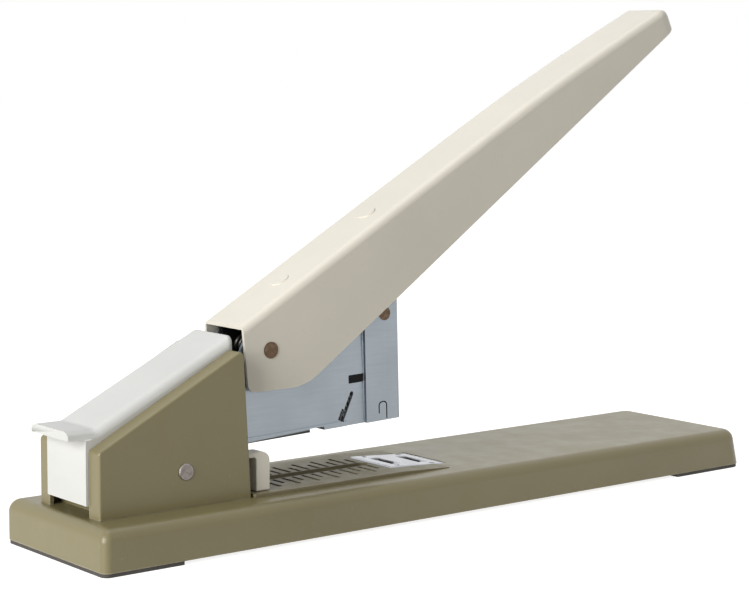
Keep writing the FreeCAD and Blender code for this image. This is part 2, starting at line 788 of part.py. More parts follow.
def cover_profile():
    """The drawer cover's side outline: back plate upright at rest, level lip, sloped lid and its short end."""
    lean = math.tan(math.radians(rest_tilt))
    valley = cover_back + 4.4
    lip_top = cover_line(valley)
    lip_root = lip_top - 1.5 * cover_lip_sheet
    root = cover_back + (lip_root - cover_foot) * lean
    tip = cover_back - cover_lip
    tip_top = lip_top + (valley - tip) * lean
    return [(cover_back, cover_foot, 0), (root, lip_root, 0),
            (tip, tip_top - cover_lip_sheet, 0), (tip, tip_top, 0), (valley, lip_top, 4.0),
            (cover_end, cover_line(cover_end), cover_end_round), (cover_end, cover_line(cover_end) - 8.0, 1.0),
            (16, 18.0, 2.0), (-20, 2, 2.0), (-22, cover_foot, 0)]


def cover_inner_back(w):
    """The inside of the back plate, which leans with the magazine's rest, at height w."""
    return cover_back + cover_wall + (w - cover_foot) * math.tan(math.radians(rest_tilt))


def cover_hollow():
    x1 = cover_end - cover_wall
    low = cover_foot - 10
    top = cover_line(cover_back + cover_wall) - cover_wall * 1.1
    return [(cover_inner_back(low), low, 0), (cover_inner_back(top), top + 0.5, 0.8),
            (x1, cover_line(x1) - cover_wall * 1.1, 1.0), (x1, low, 0)]


def rod_start():
    """Where the drawer rod's end sits in its blind hole in the back plate."""
    return cover_inner_back(rod_height) - cover_wall / 2


def make_rear_cover():
    """The moulded drawer front: back plate, thumb lip and sloped lid in one."""
    half = cover_width / 2
    body = side_plate(lifted(cover_profile()), -half, half)

    def shoulder(b):
        return b.YLength < 0.01 and b.XLength > 20 and b.ZMin > up(cover_line(cover_back))
    body = round_edges(body, cover_round, shoulder)
    inner = half - cover_wall
    body = body.cut(side_plate(lifted(cover_hollow()), -inner, inner))
    plan = plan_block(along(cover_back - cover_lip), along(2 * cover_end), half, cover_lip_round, 0, up(2 * cover_top))
    body = body.common(plan)
    rod_hole = rod_x(along(rod_start()), along(rod_start() + 2 * cover_wall), 0, up(rod_height), rod_radius)
    body = body.cut(rod_hole)
    return rest(body)


def make_drawer_rod():
    u1 = blade_back - seat - strip_length + 6
    rod = rod_x(along(rod_start()), along(u1), 0, up(rod_height), rod_radius)
    nut = rod_x(along(u1 - 2.4), along(u1), 0, up(rod_height), rod_radius + 1.2)
    return rest(rod.fuse(nut).removeSplitter())


def make_drawer_slide():
    """The steel tongue that guides the drawer between the magazine's cheeks."""
    half = magazine_width / 2 - magazine_sheet - side_gap
    low = floor_top + 0.5
    top = low + slide_height
    web_front = cover_inner_back(top) + slide_web
    end = 5.5 - magazine_rear
    tongue = side_plate(lifted([(cover_inner_back(low), low, 0), (end, low, 0), (end, top, 0),
                                (cover_inner_back(top), top, 0)]), -half, half)
    tongue = tongue.cut(slab(along(web_front), along(end + 1), half - 1.0, up(low - 1), up(top + 1)))
    return rest(tongue.cut(rod_x(along(cover_back), along(end), 0, up(rod_height), rod_radius)))


def make_pusher_spring():
    u0 = cover_inner_back(floor_top + 0.5 + slide_height) + slide_web + seat
    u1 = blade_back - seat - strip_length - pusher_length + 0.7
    wire = 0.45
    spring = coil(rod_radius + 0.5 + wire, wire, 9, u1 - u0 - 2 * wire,
                  FreeCAD.Vector(along(u0 + wire), 0, up(rod_height)), FreeCAD.Vector(1, 0, 0))
    return rest(spring)


def make_tilt_springs():
    """Torsion coils on the pivot spacers that lift the magazine."""
    wire = 0.6
    inner = magazine_width / 2 + 0.9
    outer = tower_inside - 0.9
    radius = spacer_radius + 0.4 + wire
    spring = coil(radius, wire, 3.25, outer - inner - 2 * wire,
                  FreeCAD.Vector(pivot.x, inner + wire, pivot.z), FreeCAD.Vector(0, 1, 0))
    return Part.makeCompound([spring, spring.mirror(FreeCAD.Vector(0, 0, 0), FreeCAD.Vector(0, 1, 0))])


def handle_pin_point():
    tilt = math.radians(rest_tilt)
    x = handle_pin_along * math.cos(tilt) - handle_pin_up * math.sin(tilt)
    z = handle_pin_along * math.sin(tilt) + handle_pin_up * math.cos(tilt)
    return FreeCAD.Vector(pivot.x + x, 0, pivot.z + z)


pin_point = handle_pin_point()


def raised(shape):
    """Swing a piece built level about the handle pin up to the handle's rest."""
    shape.translate(pin_point)
    shape.rotate(pin_point, FreeCAD.Vector(0, 1, 0), -handle_incline)
    return shape


def top_line(x):
    """Height of the handle's straight rear top at x."""
    rise = (handle_crest_height - handle_back_height) / (handle_crest_position + handle_back)
    return handle_back_height + rise * (x + handle_back)


def handle_outline():
    """The handle from its side: nearly straight top, leaning tip, straight belly and a rounded chin."""
    return [(-handle_back, handle_back_height, 0),
            (handle_crest_position, handle_crest_height, handle_crest_radius),
            (handle_reach - handle_tip_lean, handle_tip_height, 0), (handle_reach, handle_tip_low, 0.8),
            (handle_belly_position, -handle_belly_drop, handle_belly_radius),
            (-handle_chin_back, -handle_chin_drop, 3.0)]


def handle_hollow_outline():
    """The inside of the pressed sheet, run out past the open rear and bottom."""
    sheet = handle_sheet
    overrun = -3 * handle_back
    tip = handle_reach - 1.25 * sheet
    lean = handle_tip_lean / (handle_tip_height - handle_tip_low)
    floor = -2 * handle_belly_drop
    return [(overrun, top_line(overrun) - sheet, 0),
            (handle_crest_position, handle_crest_height - sheet, handle_crest_radius - sheet),
            (tip - handle_tip_lean, handle_tip_height - sheet, 0),
            (tip + lean * (handle_tip_low - floor), floor, 0), (overrun, floor, 0)]


def handle_plan(inset):
    half = handle_width / 2 - inset
    tip = handle_tip_width / 2 - inset
    end = handle_reach - inset
    rounding = handle_tip_round - inset
    overrun = -3 * handle_back
    plan = [(overrun, -half, 0), (handle_taper_start, -half, 0), (end, -tip, rounding)]
    plan += [(end, tip, rounding), (handle_taper_start, half, 0), (overrun, half, 0)]
    return plan_plate(plan, -handle_reach, handle_reach)


def handle_pip(x, radius, low, high):
    """A chamfered disc square to the handle's top at x, from low to high over the outer face."""
    slope = math.degrees(math.atan(top_line(1) - top_line(0)))
    pip = Part.makeCone(radius, radius - pip_height, high - low, FreeCAD.Vector(0, 0, low))
    pip.rotate(FreeCAD.Vector(0, 0, 0), FreeCAD.Vector(0, 1, 0), -slope)
    pip.translate(FreeCAD.Vector(x, 0, top_line(x)))
    return pip


def make_handle_shell():
    """The pressed handle: an inverted trough that narrows and thins towards its tip."""
    solid = side_plate(handle_outline(), -handle_width, handle_width).common(handle_plan(0))

    def crown(b):
        above = b.ZMin > min(top_line(b.XMin), handle_tip_height) - 1.2
        return above and b.XMax > 0 and (b.XLength > 3 or b.XMin > handle_reach - 3 * handle_tip_round)
    solid = round_edges(solid, handle_edge_radius, crown)
    hollow = side_plate(handle_hollow_outline(), -handle_width, handle_width).common(handle_plan(handle_sheet))
    solid = solid.cut(hollow)
    sheet = handle_sheet
    for x in (pip_rear, pip_rear + pip_spacing):
        solid = solid.fuse(handle_pip(x, pip_radius, -sheet / 2, pip_height))
        solid = solid.cut(handle_pip(x, pip_radius - sheet / 2, -2 * sheet, pip_height - sheet))
    solid = solid.cut(rod_y(0, 0, handle_pin_radius, -handle_width, handle_width))
    return raised(solid)


def make_handle_pin():
    half = handle_width / 2
    pin = rod_y(0, 0, handle_pin_radius, -half - 0.35, half + 0.35)
    for side in (-1, 1):
        y0 = half if side > 0 else -half - 0.35
        pin = pin.fuse(rod_y(0, 0, handle_pin_radius + 0.25, y0, y0 + 0.35))
    return raised(pin.removeSplitter())


def driver_pin_point():
    """The driver pin in the level handle: on a circle of driver_reach about the handle pin."""
    drop = math.radians(0.5)
    return driver_reach * math.cos(drop), -driver_reach * math.sin(drop)


def make_lever():
    """The riveted inner lever that carries the driver pin."""
    dx, dz = driver_pin_point()
    end = dx + lever_end
    half = lever_width / 2

    def under_top(x, depth):
        return (x, top_line(x) - handle_sheet - depth, 0)
    corners = [under_top(-4.0, 0), under_top(end, 0), (end, dz, lever_end * 0.9), (dx, dz - lever_end, lever_end * 0.9),
               (0.0, -5.5, 4.0), (-4.0, -3.0, 2.0)]
    solid = side_plate(corners, -half, half)
    inner = half - lever_sheet
    solid = solid.cut(side_plate([under_top(-9.0, lever_sheet), under_top(end + 9, lever_sheet),
                                  (end + 9, -30, 0), (-9.0, -30, 0)], -inner, inner))
    solid = solid.cut(rod_y(0, 0, handle_pin_radius, -half - 1, half + 1))
    solid = solid.cut(rod_y(dx, dz, driver_pin_radius, -half - 1, half + 1))
    return raised(solid)


def make_driver_pin():
    dx, dz = driver_pin_point()
    half = lever_width / 2
    return raised(rod_y(dx, dz, driver_pin_radius, -half, half))


def make_handle_spring():
    """The torsion coil on the handle pin."""
    wire = 0.65
    half = lever_width / 2 - lever_sheet - 0.4
    radius = handle_pin_radius + 0.5 + wire
    spring = coil(radius, wire, 4, 2 * half - 2 * wire, FreeCAD.Vector(0, -half + wire, 0), FreeCAD.Vector(0, 1, 0))
    return raised(spring)


def driver_pin_rest():
    """The driver pin at rest, along and up from the tower pivot in the level magazine."""
    dx, dz = driver_pin_point()
    swing = math.radians(handle_incline - rest_tilt)
    u = handle_pin_along + dx * math.cos(swing) - dz * math.sin(swing)
    w = handle_pin_up + dx * math.sin(swing) + dz * math.cos(swing)
    return u, w


def driver_stroke():
    dx, dz = driver_pin_point()
    swing = math.radians(handle_incline - rest_tilt - handle_press_angle)
    low = handle_pin_up + dx * math.sin(swing) + dz * math.cos(swing)
    return driver_pin_rest()[1] - low


def make_driver_carrier():
    """The block over the staples, with a slot that the driver pin slides in."""
    u, w = driver_pin_rest()
    half = carrier_width / 2
    low = w - 8.0
    block = side_plate(lifted([(u - 7, low, 1.5), (blade_back, low, 0), (blade_back, low + 9, 2),
                               (u + 10.0, w + 6.2, 3), (u - 7, w + 6.2, 3)]), -half, half)
    wings = slab(along(u + 10.5), along(blade_back), blade_width / 2, up(low), up(low + 8))
    block = block.fuse(wings)
    opening = driver_pin_radius + driver_play
    slide = driver_reach * 0.1
    cutter = side_plate(lifted([(u - opening, w - opening, opening * 0.98), (u + slide + opening, w - opening, opening * 0.98),
                                (u + slide + opening, w + opening, opening * 0.98), (u - opening, w + opening, opening * 0.98)]),
                        -half - 1, half + 1)
    return rest(block.cut(cutter).removeSplitter())


def make_driver_blade():
    u, w = driver_pin_rest()
    low = crown_top + blade_rest_gap
    blade = slab(along(blade_back), along(blade_back + blade_thickness), blade_width / 2, up(low), up(w - 0.4))
    return rest(blade)


nodes = {
    "base_shell": make_base_shell(),
    "rear_foot": make_foot(rear - 1, rear + rear_foot_length),
    "front_foot": make_foot(front - front_foot_length, front + 1),
    "base_stiffener": make_stiffener(),
    "tower_bracket": make_tower(),
    "tower_rivets": make_tower_rivets(),
    "tower_pivot_pin": make_pivot_pin(),
    "pivot_spacers": make_pivot_spacers(),
    "tail_bumper": make_bumper(),
    "throat_plate": make_throat_plate(),
    "anvil_block": make_anvil(),
    "anvil_tray": make_anvil_tray(),
    "anvil_rivets": make_anvil_rivets(),
    "paper_guide": make_paper_guide(),
    "guide_shoe": make_guide_shoe(),
    "guide_screw": make_guide_screw(),
    "magazine_channel": make_magazine_channel(),
    "head_casing": make_head_casing(),
    "casing_rivets": make_casing_rivets(),
    "staple_rail": make_staple_rail(),
    "rail_feet": make_rail_feet(),
    "staple_strip": make_staples(),
    "latch_leaves": make_latch_leaves(),
    "latch_blocks": make_latch_blocks(),
    "staple_pusher": make_pusher(),
    "rear_cover": make_rear_cover(),
    "drawer_rod": make_drawer_rod(),
    "drawer_slide_frame": make_drawer_slide(),
    "pusher_spring": make_pusher_spring(),
    "tilt_springs": make_tilt_springs(),
    "handle_shell": make_handle_shell(),
    "handle_pivot_pin": make_handle_pin(),
    "handle_lever": make_lever(),
    "driver_pin": make_driver_pin(),
    "handle_spring": make_handle_spring(),
    "driver_carrier": make_driver_carrier(),
    "driver_blade": make_driver_blade(),
}

os.makedirs("parts", exist_ok=True)
for name, shape in nodes.items():
    shape.exportStep(os.path.join("parts", name + ".step"))
    solids = len(shape.Solids)
    print(f"{name}: {solids} solid(s), {shape.Volume:.0f} mm3, valid {shape.isValid()}")
print(f"driver stroke {driver_stroke():.2f} mm, handle pin {pin_point}")
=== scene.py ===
import json
import math

import bmesh
import bpy
import numpy as np
from mathutils import Matrix, Vector


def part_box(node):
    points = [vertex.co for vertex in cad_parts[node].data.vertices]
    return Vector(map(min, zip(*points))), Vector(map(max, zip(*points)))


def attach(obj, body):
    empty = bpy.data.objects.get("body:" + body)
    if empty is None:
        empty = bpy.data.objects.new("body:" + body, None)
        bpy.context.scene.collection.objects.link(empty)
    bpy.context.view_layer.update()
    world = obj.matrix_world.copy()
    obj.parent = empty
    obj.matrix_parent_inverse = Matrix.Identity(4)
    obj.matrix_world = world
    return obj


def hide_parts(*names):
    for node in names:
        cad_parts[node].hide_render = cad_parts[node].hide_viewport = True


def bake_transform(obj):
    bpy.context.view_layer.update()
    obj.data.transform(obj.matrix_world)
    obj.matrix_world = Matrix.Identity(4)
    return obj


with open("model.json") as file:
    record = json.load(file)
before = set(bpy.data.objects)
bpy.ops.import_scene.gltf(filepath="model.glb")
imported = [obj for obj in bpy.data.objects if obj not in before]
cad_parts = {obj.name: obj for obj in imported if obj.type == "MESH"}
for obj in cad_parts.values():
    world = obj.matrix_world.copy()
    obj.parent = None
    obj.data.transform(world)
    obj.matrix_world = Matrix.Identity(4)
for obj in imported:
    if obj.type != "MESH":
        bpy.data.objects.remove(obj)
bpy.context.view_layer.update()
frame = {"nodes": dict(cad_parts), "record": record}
print("stapler: frame loaded,", len(frame["nodes"]), "nodes")


# shader settings that are the same all over a finish, with what they are when a finish says nothing
plainSettings = {
    "Metallic": ("metallic", 0.0), "IOR": ("ior", 1.5), "Specular IOR Level": ("specular", 0.5),
    "Coat Weight": ("coat", 0.0), "Coat Roughness": ("coatRoughness", 0.1),
    "Anisotropic": ("anisotropic", 0.0),
}


def newMaterial(name, values):
    material = bpy.data.materials.new(name)
    material.use_nodes = True
    tree = material.node_tree
    shader = tree.nodes["Principled BSDF"]
    for socket, (key, usual) in plainSettings.items():
        shader.inputs[socket].default_value = values.get(key, usual)
    return material, tree, shader


# a node with its settings; an input that is a socket is linked, any other is set
def addNode(tree, kind, inputs=None, **settings):
    node = tree.nodes.new(kind)
    for key, value in settings.items():
        setattr(node, key, value)
    for key, value in (inputs or {}).items():
        if isinstance(value, bpy.types.NodeSocket):
            tree.links.new(value, node.inputs[key])
        else:
            node.inputs[key].default_value = value
    return node


# object coordinates, stretched so that a pattern runs along one direction
def placeCoordinates(tree, stretch=(1, 1, 1)):
    coords = addNode(tree, "ShaderNodeTexCoord").outputs["Object"]
    inputs = {"Vector": coords, "Scale": stretch}
    return addNode(tree, "ShaderNodeMapping", inputs).outputs["Vector"]


# short names for the nodes used most
def noise(tree, coords, scale, detail, rough=0.55):
    inputs = {"Vector": coords, "Scale": scale, "Detail": detail, "Roughness": rough}
    return addNode(tree, "ShaderNodeTexNoise", inputs).outputs["Fac"]


def spread(tree, source, low, high, toLow=0.0, toHigh=1.0):
    inputs = {"Value": source, "From Min": low, "From Max": high, "To Min": toLow, "To Max": toHigh}
    return addNode(tree, "ShaderNodeMapRange", inputs).outputs["Result"]


def combine(tree, operation, first, second):
    return addNode(tree, "ShaderNodeMath", {0: first, 1: second}, operation=operation).outputs[0]


def mixColour(tree, factor, first, second):
    inputs = {0: factor, 6: first, 7: second}  # factor and the two colours of a Mix node
    return addNode(tree, "ShaderNodeMix", inputs, data_type="RGBA").outputs[2]


# lays a colour over a tone, where the mask is and no more than amount
def coverTone(tree, tone, mask, amount, colour):
    return mixColour(tree, combine(tree, "MULTIPLY", mask, amount), tone, colour)


maskSamples = 6


# how far the surface's rounded normal leans away from the true one: 0 on flats, 1 on sharp edges
def edgeMask(tree, radius, low, high):
    soft = addNode(tree, "ShaderNodeBevel", {"Radius": radius}, samples=maskSamples)
    true = addNode(tree, "ShaderNodeNewGeometry")
    normals = {0: soft.outputs["Normal"], 1: true.outputs["Normal"]}
    both = addNode(tree, "ShaderNodeVectorMath", normals, operation="DOT_PRODUCT")
    lean = combine(tree, "SUBTRACT", 1.0, both.outputs["Value"])
    return spread(tree, lean, low, high)


# 1 deep in narrow gaps and corners, 0 on open surfaces; the finishes use it to paint shade there
def creviceMask(tree, reach, low, high):
    reached = {"Distance": reach}
    openness = addNode(tree, "ShaderNodeAmbientOcclusion", reached, samples=maskSamples)
    return spread(tree, openness.outputs["AO"], low, high, 1.0, 0.0)


def addBump(tree, shader, height, strength, distance):
    inputs = {"Height": height, "Strength": strength, "Distance": distance}
    bump = addNode(tree, "ShaderNodeBump", inputs).outputs["Normal"]
    tree.links.new(bump, shader.inputs["Normal"])


def rgba(colour, gain=1.0):
    return tuple(min(1.0, c * gain) for c in colour) + (1.0,)


# the finish's own colour, a little darker where the factor is 0 and lighter where it is 1
def cloudColour(tree, factor, colour, gains):
    return mixColour(tree, factor, rgba(colour, gains[0]), rgba(colour, gains[1]))


# what all enamels share: which part of each noise counts, and in what measure
enamelPattern = {
    "cloudDetail": 4.0, "cloudRange": (0.35, 0.65), "cloudGains": (0.965, 1.035),
    "speckDetail": 2.0, "speckRange": (0.70, 0.76),
    "edgeRange": (0.02, 0.30), "patchScale": 180.0, "patchDetail": 5.0,
    "patchRange": (0.40, 0.62), "patchTo": (0.25, 1.0),
    "gapReach": 0.0016, "gapRange": (0.15, 0.62),
    "glossStep": 5, "glossDetail": 3.0, "glossRange": (0.3, 0.7),
    "peelDetail": 2.0, "peelHeight": 0.0002,
}


# baked enamel: faint cloudy tone, fine orange peel, specks of dust, lighter edges of thin paint and
# painted highlight, and painted shade in the gaps
def enamelFinish(name, values, pattern=enamelPattern):
    material, tree, shader = newMaterial(name, values)
    coords = placeCoordinates(tree)
    cloud = noise(tree, coords, values["cloudScale"], pattern["cloudDetail"])
    cloudy = spread(tree, cloud, *pattern["cloudRange"])
    tone = cloudColour(tree, cloudy, values["colour"], pattern["cloudGains"])
    specks = noise(tree, coords, values["speckScale"], pattern["speckDetail"])
    specks = spread(tree, specks, *pattern["speckRange"])
    tone = coverTone(tree, tone, specks, values["specks"], rgba(values["speckColour"]))
    # painted highlight along the edges, mixed with patchy wear
    edge = edgeMask(tree, values["edgeRadius"], *pattern["edgeRange"])
    patches = noise(tree, coords, pattern["patchScale"], pattern["patchDetail"])
    patches = spread(tree, patches, *pattern["patchRange"], *pattern["patchTo"])
    wearAndHighlight = combine(tree, "MULTIPLY", edge, patches)
    tone = coverTone(tree, tone, wearAndHighlight, values["edgeWearAndHighlight"], rgba(values["edgeColour"]))
    # painted shade: a darker colour in gaps and corners
    gaps = creviceMask(tree, pattern["gapReach"], *pattern["gapRange"])
    tone = coverTone(tree, tone, gaps, values["gapShade"], rgba(values["gapShadeColour"]))
    tree.links.new(tone, shader.inputs["Base Color"])
    gloss = noise(tree, coords, values["cloudScale"] * pattern["glossStep"], pattern["glossDetail"])
    rough = spread(tree, gloss, *pattern["glossRange"], *values["roughness"])
    tree.links.new(rough, shader.inputs["Roughness"])
    peel = noise(tree, coords, values["peelScale"], pattern["peelDetail"])
    addBump(tree, shader, peel, values["peel"], pattern["peelHeight"])
    return material


# what all steels share
steelPattern = {
    "streakDetail": 6.0, "streakRough": 0.6, "streakRange": (0.3, 0.7), "streakGains": (0.93, 1.05),
    "smudgeDetail": 5.0, "smudgeRange": (0.45, 0.75), "dullRange": (0.4, 0.7),
    "edgeRange": (0.02, 0.35), "edgeGain": 1.4,
    "gapReach": 0.0012, "gapRange": (0.10, 0.55), "gapShadeColour": (0.02, 0.018, 0.016),
    "roughRange": (0.25, 0.75), "grainHeight": 0.0001,
}


# rolled or ground steel: long fine streaks along one direction, smudges that dull it, painted
# highlights on the edges and painted shade in the gaps; a mesh attribute paints dark reflection and
# shade at places of its own
def steelFinish(name, values, pattern=steelPattern):
    material, tree, shader = newMaterial(name, dict(values, metallic=1.0))
    streakCoords = placeCoordinates(tree, values["stretch"])
    streaks = noise(tree, streakCoords, values["streakScale"], pattern["streakDetail"],
                    pattern["streakRough"])
    smudge = noise(tree, placeCoordinates(tree), values["smudgeScale"], pattern["smudgeDetail"])
    streaky = spread(tree, streaks, *pattern["streakRange"])
    tone = cloudColour(tree, streaky, values["colour"], pattern["streakGains"])
    smudged = spread(tree, smudge, *pattern["smudgeRange"], 0.0, values["smudge"])
    tone = mixColour(tree, smudged, tone, rgba(values["smudgeColour"]))
    # painted highlight: a lighter colour along the edges
    edge = edgeMask(tree, values["edgeRadius"], *pattern["edgeRange"])
    shine = rgba(values["colour"], pattern["edgeGain"])
    if "edgeColour" in values:
        shine = rgba(values["edgeColour"])
    tone = coverTone(tree, tone, edge, values["edgeShine"], shine)
    # painted shade: a darker colour in gaps and corners
    gaps = creviceMask(tree, pattern["gapReach"], *pattern["gapRange"])
    gapShade = combine(tree, "MULTIPLY", gaps, values["gapShade"])
    # painted dark reflection and shade, carried by a mesh attribute
    if "shadeAndReflection" in values:
        shadeAndReflection = addNode(tree, "ShaderNodeAttribute", attribute_name="shadeAndReflection").outputs["Fac"]
        shadeAndReflection = combine(tree, "MULTIPLY", shadeAndReflection, values["shadeAndReflection"])
        gapShade = combine(tree, "MAXIMUM", gapShade, shadeAndReflection)
    tone = mixColour(tree, gapShade, tone, rgba(pattern["gapShadeColour"]))
    tree.links.new(tone, shader.inputs["Base Color"])
    rough = spread(tree, streaks, *pattern["roughRange"], *values["roughness"])
    dull = spread(tree, smudge, *pattern["dullRange"])
    dull = combine(tree, "MULTIPLY", dull, values["dulling"])
    tree.links.new(combine(tree, "ADD", rough, dull), shader.inputs["Roughness"])
    addBump(tree, shader, streaks, values["grain"], pattern["grainHeight"])
    return material


# what all plastics share
plasticPattern = {
    "flowStretch": (1, 1, 3), "flowDetail": 3.0, "flowRange": (0.35, 0.65),
    "flowGains": (0.97, 1.03),
    "grimeScale": 90.0, "grimeDetail": 6.0, "grimeRange": (0.55, 0.75),
    "edgeRange": (0.02, 0.35), "glossRange": (0.3, 0.7),
    "grainDetail": 2.0, "grainHeight": 0.0001,
}


# moulded plastic: very fine sparkle texture, faint flow marks, thin grime, and lighter edges of
# rubbed wear and painted highlight
def plasticFinish(name, values, pattern=plasticPattern):
    material, tree, shader = newMaterial(name, values)
    coords = placeCoordinates(tree)
    flowCoords = placeCoordinates(tree, pattern["flowStretch"])
    flow = noise(tree, flowCoords, values["flowScale"], pattern["flowDetail"])
    flowing = spread(tree, flow, *pattern["flowRange"])
    tone = cloudColour(tree, flowing, values["colour"], pattern["flowGains"])
    grime = noise(tree, coords, pattern["grimeScale"], pattern["grimeDetail"])
    grime = spread(tree, grime, *pattern["grimeRange"], 0.0, values["grime"])
    tone = mixColour(tree, grime, tone, rgba(values["grimeColour"]))
    # painted highlight along the edges, with rubbed wear
    edge = edgeMask(tree, values["edgeRadius"], *pattern["edgeRange"])
    tone = coverTone(tree, tone, edge, values["edgeWearAndHighlight"], rgba(values["edgeColour"]))
    tree.links.new(tone, shader.inputs["Base Color"])
    rough = spread(tree, flow, *pattern["glossRange"], *values["roughness"])
    tree.links.new(rough, shader.inputs["Roughness"])
    grain = noise(tree, coords, values["grainScale"], pattern["grainDetail"])
    addBump(tree, shader, grain, values["grain"], pattern["grainHeight"])
    return material


basePaint = {
    "colour": (0.203, 0.172, 0.078), "roughness": (0.36, 0.46), "specular": 0.6,
    "coat": 0.25, "coatRoughness": 0.25, "cloudScale": 22.0, "peelScale": 900.0, "peel": 0.10,
    "specks": 0.18, "speckScale": 700.0, "speckColour": (0.36, 0.33, 0.24),
    "edgeRadius": 0.0009, "edgeWearAndHighlight": 0.75, "edgeColour": (0.50, 0.47, 0.37),
    "gapShade": 0.9, "gapShadeColour": (0.035, 0.028, 0.014),
}
handlePaint = {
    "colour": (0.745, 0.705, 0.610), "roughness": (0.30, 0.38),
    "coat": 0.25, "coatRoughness": 0.2, "cloudScale": 16.0, "peelScale": 800.0, "peel": 0.07,
    "specks": 0.20, "speckScale": 600.0, "speckColour": (0.52, 0.48, 0.38),
    "edgeRadius": 0.0008, "edgeWearAndHighlight": 0.30, "edgeColour": (0.80, 0.77, 0.68),
    "gapShade": 0.5, "gapShadeColour": (0.3, 0.26, 0.2),
}
scalePaint = {
    "colour": (0.205, 0.176, 0.100), "roughness": (0.42, 0.55),
    "cloudScale": 30.0, "peelScale": 1000.0, "peel": 0.12,
    "specks": 0.40, "speckScale": 800.0, "speckColour": (0.24, 0.21, 0.15),
    "edgeRadius": 0.0006, "edgeWearAndHighlight": 0.45, "edgeColour": (0.34, 0.31, 0.24),
    "gapShade": 0.95, "gapShadeColour": (0.022, 0.015, 0.008),
}
magazineSteel = {
    "colour": (0.305, 0.342, 0.380), "roughness": (0.34, 0.46), "anisotropic": 0.3,
    "stretch": (1, 14, 14), "streakScale": 70.0, "grain": 0.05, "dulling": 0.10,
    "smudgeScale": 40.0, "smudge": 0.35, "smudgeColour": (0.25, 0.28, 0.31),
    "edgeRadius": 0.0004, "edgeShine": 0.5, "gapShade": 0.9,
}
zincSteel = {
    "colour": (0.46, 0.47, 0.48), "roughness": (0.38, 0.52),
    "stretch": (1, 6, 6), "streakScale": 90.0, "grain": 0.08, "dulling": 0.12,
    "smudgeScale": 60.0, "smudge": 0.5, "smudgeColour": (0.36, 0.37, 0.36),
    "edgeRadius": 0.0004, "edgeShine": 0.4, "gapShade": 0.8,
}
brightSteel = {
    "colour": (0.215, 0.195, 0.185), "roughness": (0.26, 0.38),
    "stretch": (8, 1, 8), "streakScale": 160.0, "grain": 0.05, "dulling": 0.08,
    "smudgeScale": 900.0, "smudge": 0.8, "smudgeColour": (0.13, 0.11, 0.10),
    "edgeRadius": 0.0007, "edgeShine": 1.0, "edgeColour": (0.66, 0.62, 0.58), "gapShade": 0.6,
}
springSteel = {
    "colour": (0.12, 0.115, 0.11), "roughness": (0.30, 0.42),
    "stretch": (1, 1, 4), "streakScale": 200.0, "grain": 0.05, "dulling": 0.1,
    "smudgeScale": 150.0, "smudge": 0.4, "smudgeColour": (0.06, 0.055, 0.05),
    "edgeRadius": 0.0002, "edgeShine": 0.3, "gapShade": 0.8,
}
darkSteel = {
    "colour": (0.105, 0.068, 0.045), "roughness": (0.34, 0.48),
    "stretch": (1, 1, 1), "streakScale": 400.0, "grain": 0.10, "dulling": 0.08,
    "smudgeScale": 900.0, "smudge": 0.8, "smudgeColour": (0.20, 0.145, 0.10),
    "edgeRadius": 0.0003, "edgeShine": 0.7, "gapShade": 0.6,
}
# near-black steel that paints the shade inside the handle and round the anvil
paintedShadeSteel = {
    "colour": (0.050, 0.047, 0.044), "roughness": (0.45, 0.60),
    "stretch": (1, 6, 6), "streakScale": 90.0, "grain": 0.08, "dulling": 0.10,
    "smudgeScale": 80.0, "smudge": 0.5, "smudgeColour": (0.030, 0.028, 0.026),
    "edgeRadius": 0.0004, "edgeShine": 0.3, "gapShade": 0.8,
}
stapleWire = {
    "colour": (0.66, 0.67, 0.68), "roughness": (0.22, 0.34),
    "stretch": (20, 1, 1), "streakScale": 80.0, "grain": 0.10, "dulling": 0.05,
    "smudgeScale": 100.0, "smudge": 0.2, "smudgeColour": (0.5, 0.5, 0.5),
    "edgeRadius": 0.0002, "edgeShine": 0.4, "gapShade": 0.8,
}
anvilChrome = {
    "colour": (0.50, 0.515, 0.545), "roughness": (0.16, 0.28),
    "stretch": (1, 10, 1), "streakScale": 120.0, "grain": 0.03, "dulling": 0.10,
    "smudgeScale": 500.0, "smudge": 0.6, "smudgeColour": (0.36, 0.37, 0.40),
    "edgeRadius": 0.0004, "edgeShine": 0.9, "edgeColour": (0.9, 0.9, 0.92),
    "gapShade": 0.9, "shadeAndReflection": 0.97,
}
coverPlastic = {
    "colour": (0.650, 0.652, 0.632), "roughness": (0.30, 0.40), "coat": 0.1,
    "flowScale": 25.0, "grainScale": 1500.0, "grain": 0.05,
    "grime": 0.10, "grimeColour": (0.62, 0.60, 0.54),
    "edgeRadius": 0.0006, "edgeWearAndHighlight": 0.2, "edgeColour": (0.86, 0.86, 0.84),
}
guidePlastic = {
    "colour": (0.830, 0.800, 0.700), "roughness": (0.38, 0.48),
    "flowScale": 40.0, "grainScale": 1300.0, "grain": 0.08,
    "grime": 0.20, "grimeColour": (0.48, 0.45, 0.36),
    "edgeRadius": 0.0006, "edgeWearAndHighlight": 0.25, "edgeColour": (0.76, 0.74, 0.66),
}
padRubber = {
    "colour": (0.060, 0.055, 0.052), "roughness": (0.62, 0.78),
    "flowScale": 50.0, "grainScale": 900.0, "grain": 0.25,
    "grime": 0.35, "grimeColour": (0.13, 0.12, 0.11),
    "edgeRadius": 0.0004, "edgeWearAndHighlight": 0.3, "edgeColour": (0.16, 0.155, 0.15),
}
blackPlastic = {
    "colour": (0.010, 0.010, 0.011), "roughness": (0.55, 0.70), "specular": 0.12,
    "flowScale": 60.0, "grainScale": 1200.0, "grain": 0.10,
    "grime": 0.15, "grimeColour": (0.05, 0.05, 0.05),
    "edgeRadius": 0.0003, "edgeWearAndHighlight": 0.4, "edgeColour": (0.07, 0.07, 0.07),
}

